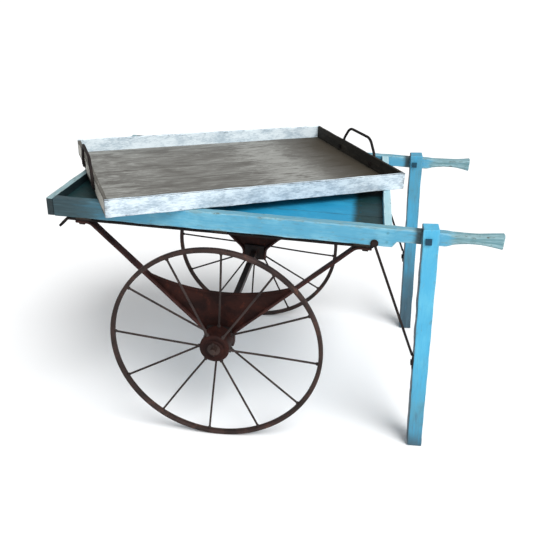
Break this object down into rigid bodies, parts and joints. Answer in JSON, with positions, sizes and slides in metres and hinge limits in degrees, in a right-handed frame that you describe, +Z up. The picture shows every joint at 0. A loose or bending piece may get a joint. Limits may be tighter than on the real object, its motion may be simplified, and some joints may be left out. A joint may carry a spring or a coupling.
{
  "type": "wooden hand cart",
  "caption": "Two-wheeled wooden hand cart with spoked iron wheels, a V-shaped iron undercarriage, legs, grips and a loose tray.",
  "frame": {"origin": "centre of the overall box at the ground, under the box between the wheels", "axes": "+X from the nose to the handles, +Z up, the left side is -Y"},
  "size_m": [1.4558, 1.0766, 0.9498],
  "materials": {
    "blue_paint": "satin, worn paint",
    "blue_floor": "satin, worn paint",
    "bare_timber": "matte, weathered",
    "whitewash": "matte, worn whitewash",
    "dark_boards": "matte, weathered black",
    "grey_planks": "matte, weathered",
    "old_iron": "matte, rusty black",
    "axle_iron": "satin, greased",
    "painted_bolts": "satin, worn paint",
    "nail_iron": "matte, rusty"
  },
  "bodies": {
    "cart": {"axle": "axle_iron", "axle_washers": "axle_iron", "box_nails": "nail_iron", "brace_bolts": "painted_bolts", "floor_board_1": "blue_floor", "floor_board_2": "blue_floor", "floor_board_3": "blue_floor", "floor_board_4": "blue_floor", "floor_board_5": "blue_floor", "floor_board_6": "blue_floor", "floor_nails": "nail_iron", "frame_bolts": "old_iron", "front_bearer": "bare_timber", "front_board": "blue_paint", "left_axle_block": "old_iron", "left_front_arm": "old_iron", "left_gusset": "old_iron", "left_leg": "blue_paint", "left_leg_brace": "old_iron", "left_rear_arm": "old_iron", "left_side_rail": "blue_paint", "left_strap": "old_iron", "leg_bolts": "painted_bolts", "linch_pins": "axle_iron", "middle_bearer": "bare_timber", "rear_bearer": "bare_timber", "rear_board": "blue_paint", "right_axle_block": "old_iron", "right_front_arm": "old_iron", "right_gusset": "old_iron", "right_leg": "blue_paint", "right_leg_brace": "old_iron", "right_rear_arm": "old_iron", "right_side_rail": "blue_paint", "right_strap": "old_iron"},
    "left_wheel": {"left_wheel_rim": "old_iron", "left_wheel_hub": "old_iron", "left_wheel_spokes": "old_iron"},
    "right_wheel": {"right_wheel_rim": "old_iron", "right_wheel_hub": "old_iron", "right_wheel_spokes": "old_iron"},
    "tray": {"tray_far_wall": "whitewash", "tray_front_handle": "old_iron", "tray_front_wall": "dark_boards", "tray_handle_bolts": "old_iron", "tray_nails": "nail_iron", "tray_near_wall": "whitewash", "tray_plank_1": "grey_planks", "tray_plank_2": "grey_planks", "tray_plank_3": "grey_planks", "tray_plank_4": "grey_planks", "tray_plank_5": "grey_planks", "tray_rear_handle": "old_iron", "tray_rear_wall": "dark_boards"}
  },
  "joints": [
    {"name": "left_wheel_spin", "type": "hinge", "parent": "cart", "child": "left_wheel", "pos_m": [-0.1295, -0.4415, 0.35], "axis": [0, 1, 0], "continuous": true},
    {"name": "right_wheel_spin", "type": "hinge", "parent": "cart", "child": "right_wheel", "pos_m": [-0.1295, 0.3935, 0.35], "axis": [0, 1, 0], "continuous": true},
    {"name": "tray_lift", "type": "slide", "parent": "cart", "child": "tray", "axis": [0, 0, 1], "range_m": [0, 0.3]}
  ]
}
